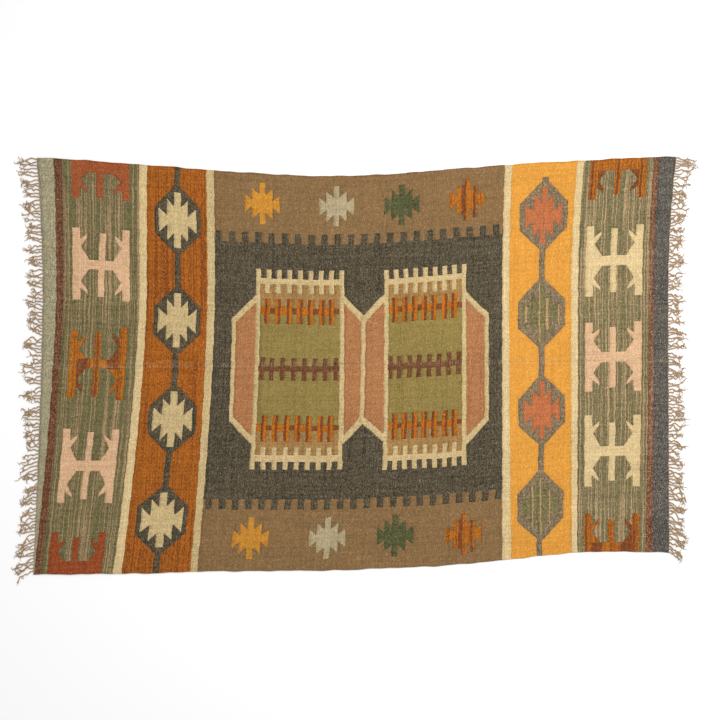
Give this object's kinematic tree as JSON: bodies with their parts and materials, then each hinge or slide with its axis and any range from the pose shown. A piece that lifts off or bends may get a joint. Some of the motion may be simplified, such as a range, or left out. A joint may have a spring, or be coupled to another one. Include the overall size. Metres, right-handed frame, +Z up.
{
  "type": "area rug",
  "caption": "Flat-woven kilim area rug with hooked-medallion borders, niche centre and fringed ends, which folds in half lengthwise.",
  "frame": {"origin": "centre of the rug's bounding box, on the floor under it", "axes": "+X along the rug's length, towards its yellow-orange end; +Y across its width, towards the far half; +Z up out of the face"},
  "size_m": [2.6056, 1.6076, 0.004],
  "materials": {
    "grey_green": "plain-woven wool, grey-green",
    "maroon": "woven wool, maroon",
    "sage": "woven wool, sage green with undyed streaks",
    "cream": "woven wool, cream",
    "rust_orange": "woven wool, streaked rust orange",
    "charcoal": "woven wool, charcoal brown",
    "brown": "woven wool, warm brown",
    "salmon": "woven wool, salmon red",
    "yellow_orange": "woven wool, yellow orange",
    "taupe": "woven wool, taupe brown",
    "slate": "plain-woven wool, slate blue",
    "brick_red": "woven wool, brick red",
    "shell_pink": "woven wool, shell pink",
    "burnt_orange": "woven wool, burnt orange",
    "undyed": "twisted undyed wool warp"
  },
  "bodies": {
    "far_half": {"dark_field_far": "charcoal", "end_web_left_far": "grey_green", "end_web_right_far": "slate", "field_band_far": "brown", "fringe_left_far": "undyed", "fringe_right_far": "undyed", "guard_stripe_left_far": "maroon", "guard_stripe_right_far": "maroon", "hook_border_left_far": "sage", "hook_border_right_far": "sage", "hook_far_left": "shell_pink", "hook_far_right": "cream", "hook_middle_left_far": "burnt_orange", "hook_middle_right_far": "shell_pink", "inner_stripe_left_far": "cream", "inner_stripe_right_far": "cream", "medallion_band_left_far": "rust_orange", "medallion_band_right_far": "yellow_orange", "medallion_left_1": "charcoal", "medallion_left_2": "charcoal", "medallion_right_1": "taupe", "medallion_right_2": "taupe", "niche_left_far": "salmon", "niche_right_far": "salmon", "outer_stripe_left_far": "cream", "outer_stripe_right_far": "cream", "rim_hook_far_left": "brick_red", "rim_hook_far_right": "burnt_orange", "selvedge_far": "brown"},
    "near_half": {"dark_field_near": "charcoal", "end_web_left_near": "grey_green", "end_web_right_near": "slate", "field_band_near": "brown", "fringe_left_near": "undyed", "fringe_right_near": "undyed", "guard_stripe_left_near": "maroon", "guard_stripe_right_near": "maroon", "hook_border_left_near": "sage", "hook_border_right_near": "sage", "hook_middle_left_near": "burnt_orange", "hook_middle_right_near": "shell_pink", "hook_near_left": "shell_pink", "hook_near_right": "cream", "inner_stripe_left_near": "cream", "inner_stripe_right_near": "cream", "medallion_band_left_near": "rust_orange", "medallion_band_right_near": "yellow_orange", "medallion_left_3": "charcoal", "medallion_left_4": "charcoal", "medallion_right_3": "taupe", "medallion_right_4": "taupe", "niche_left_near": "salmon", "niche_right_near": "salmon", "outer_stripe_left_near": "cream", "outer_stripe_right_near": "cream", "rim_hook_near_left": "brick_red", "rim_hook_near_right": "burnt_orange", "selvedge_near": "brown"}
  },
  "joints": [
    {"name": "half_fold", "type": "hinge", "parent": "far_half", "child": "near_half", "pos_m": [0, 0.007, 0.007], "axis": [-0.9999, -0.0105, 0], "range_deg": [0, 180]}
  ]
}
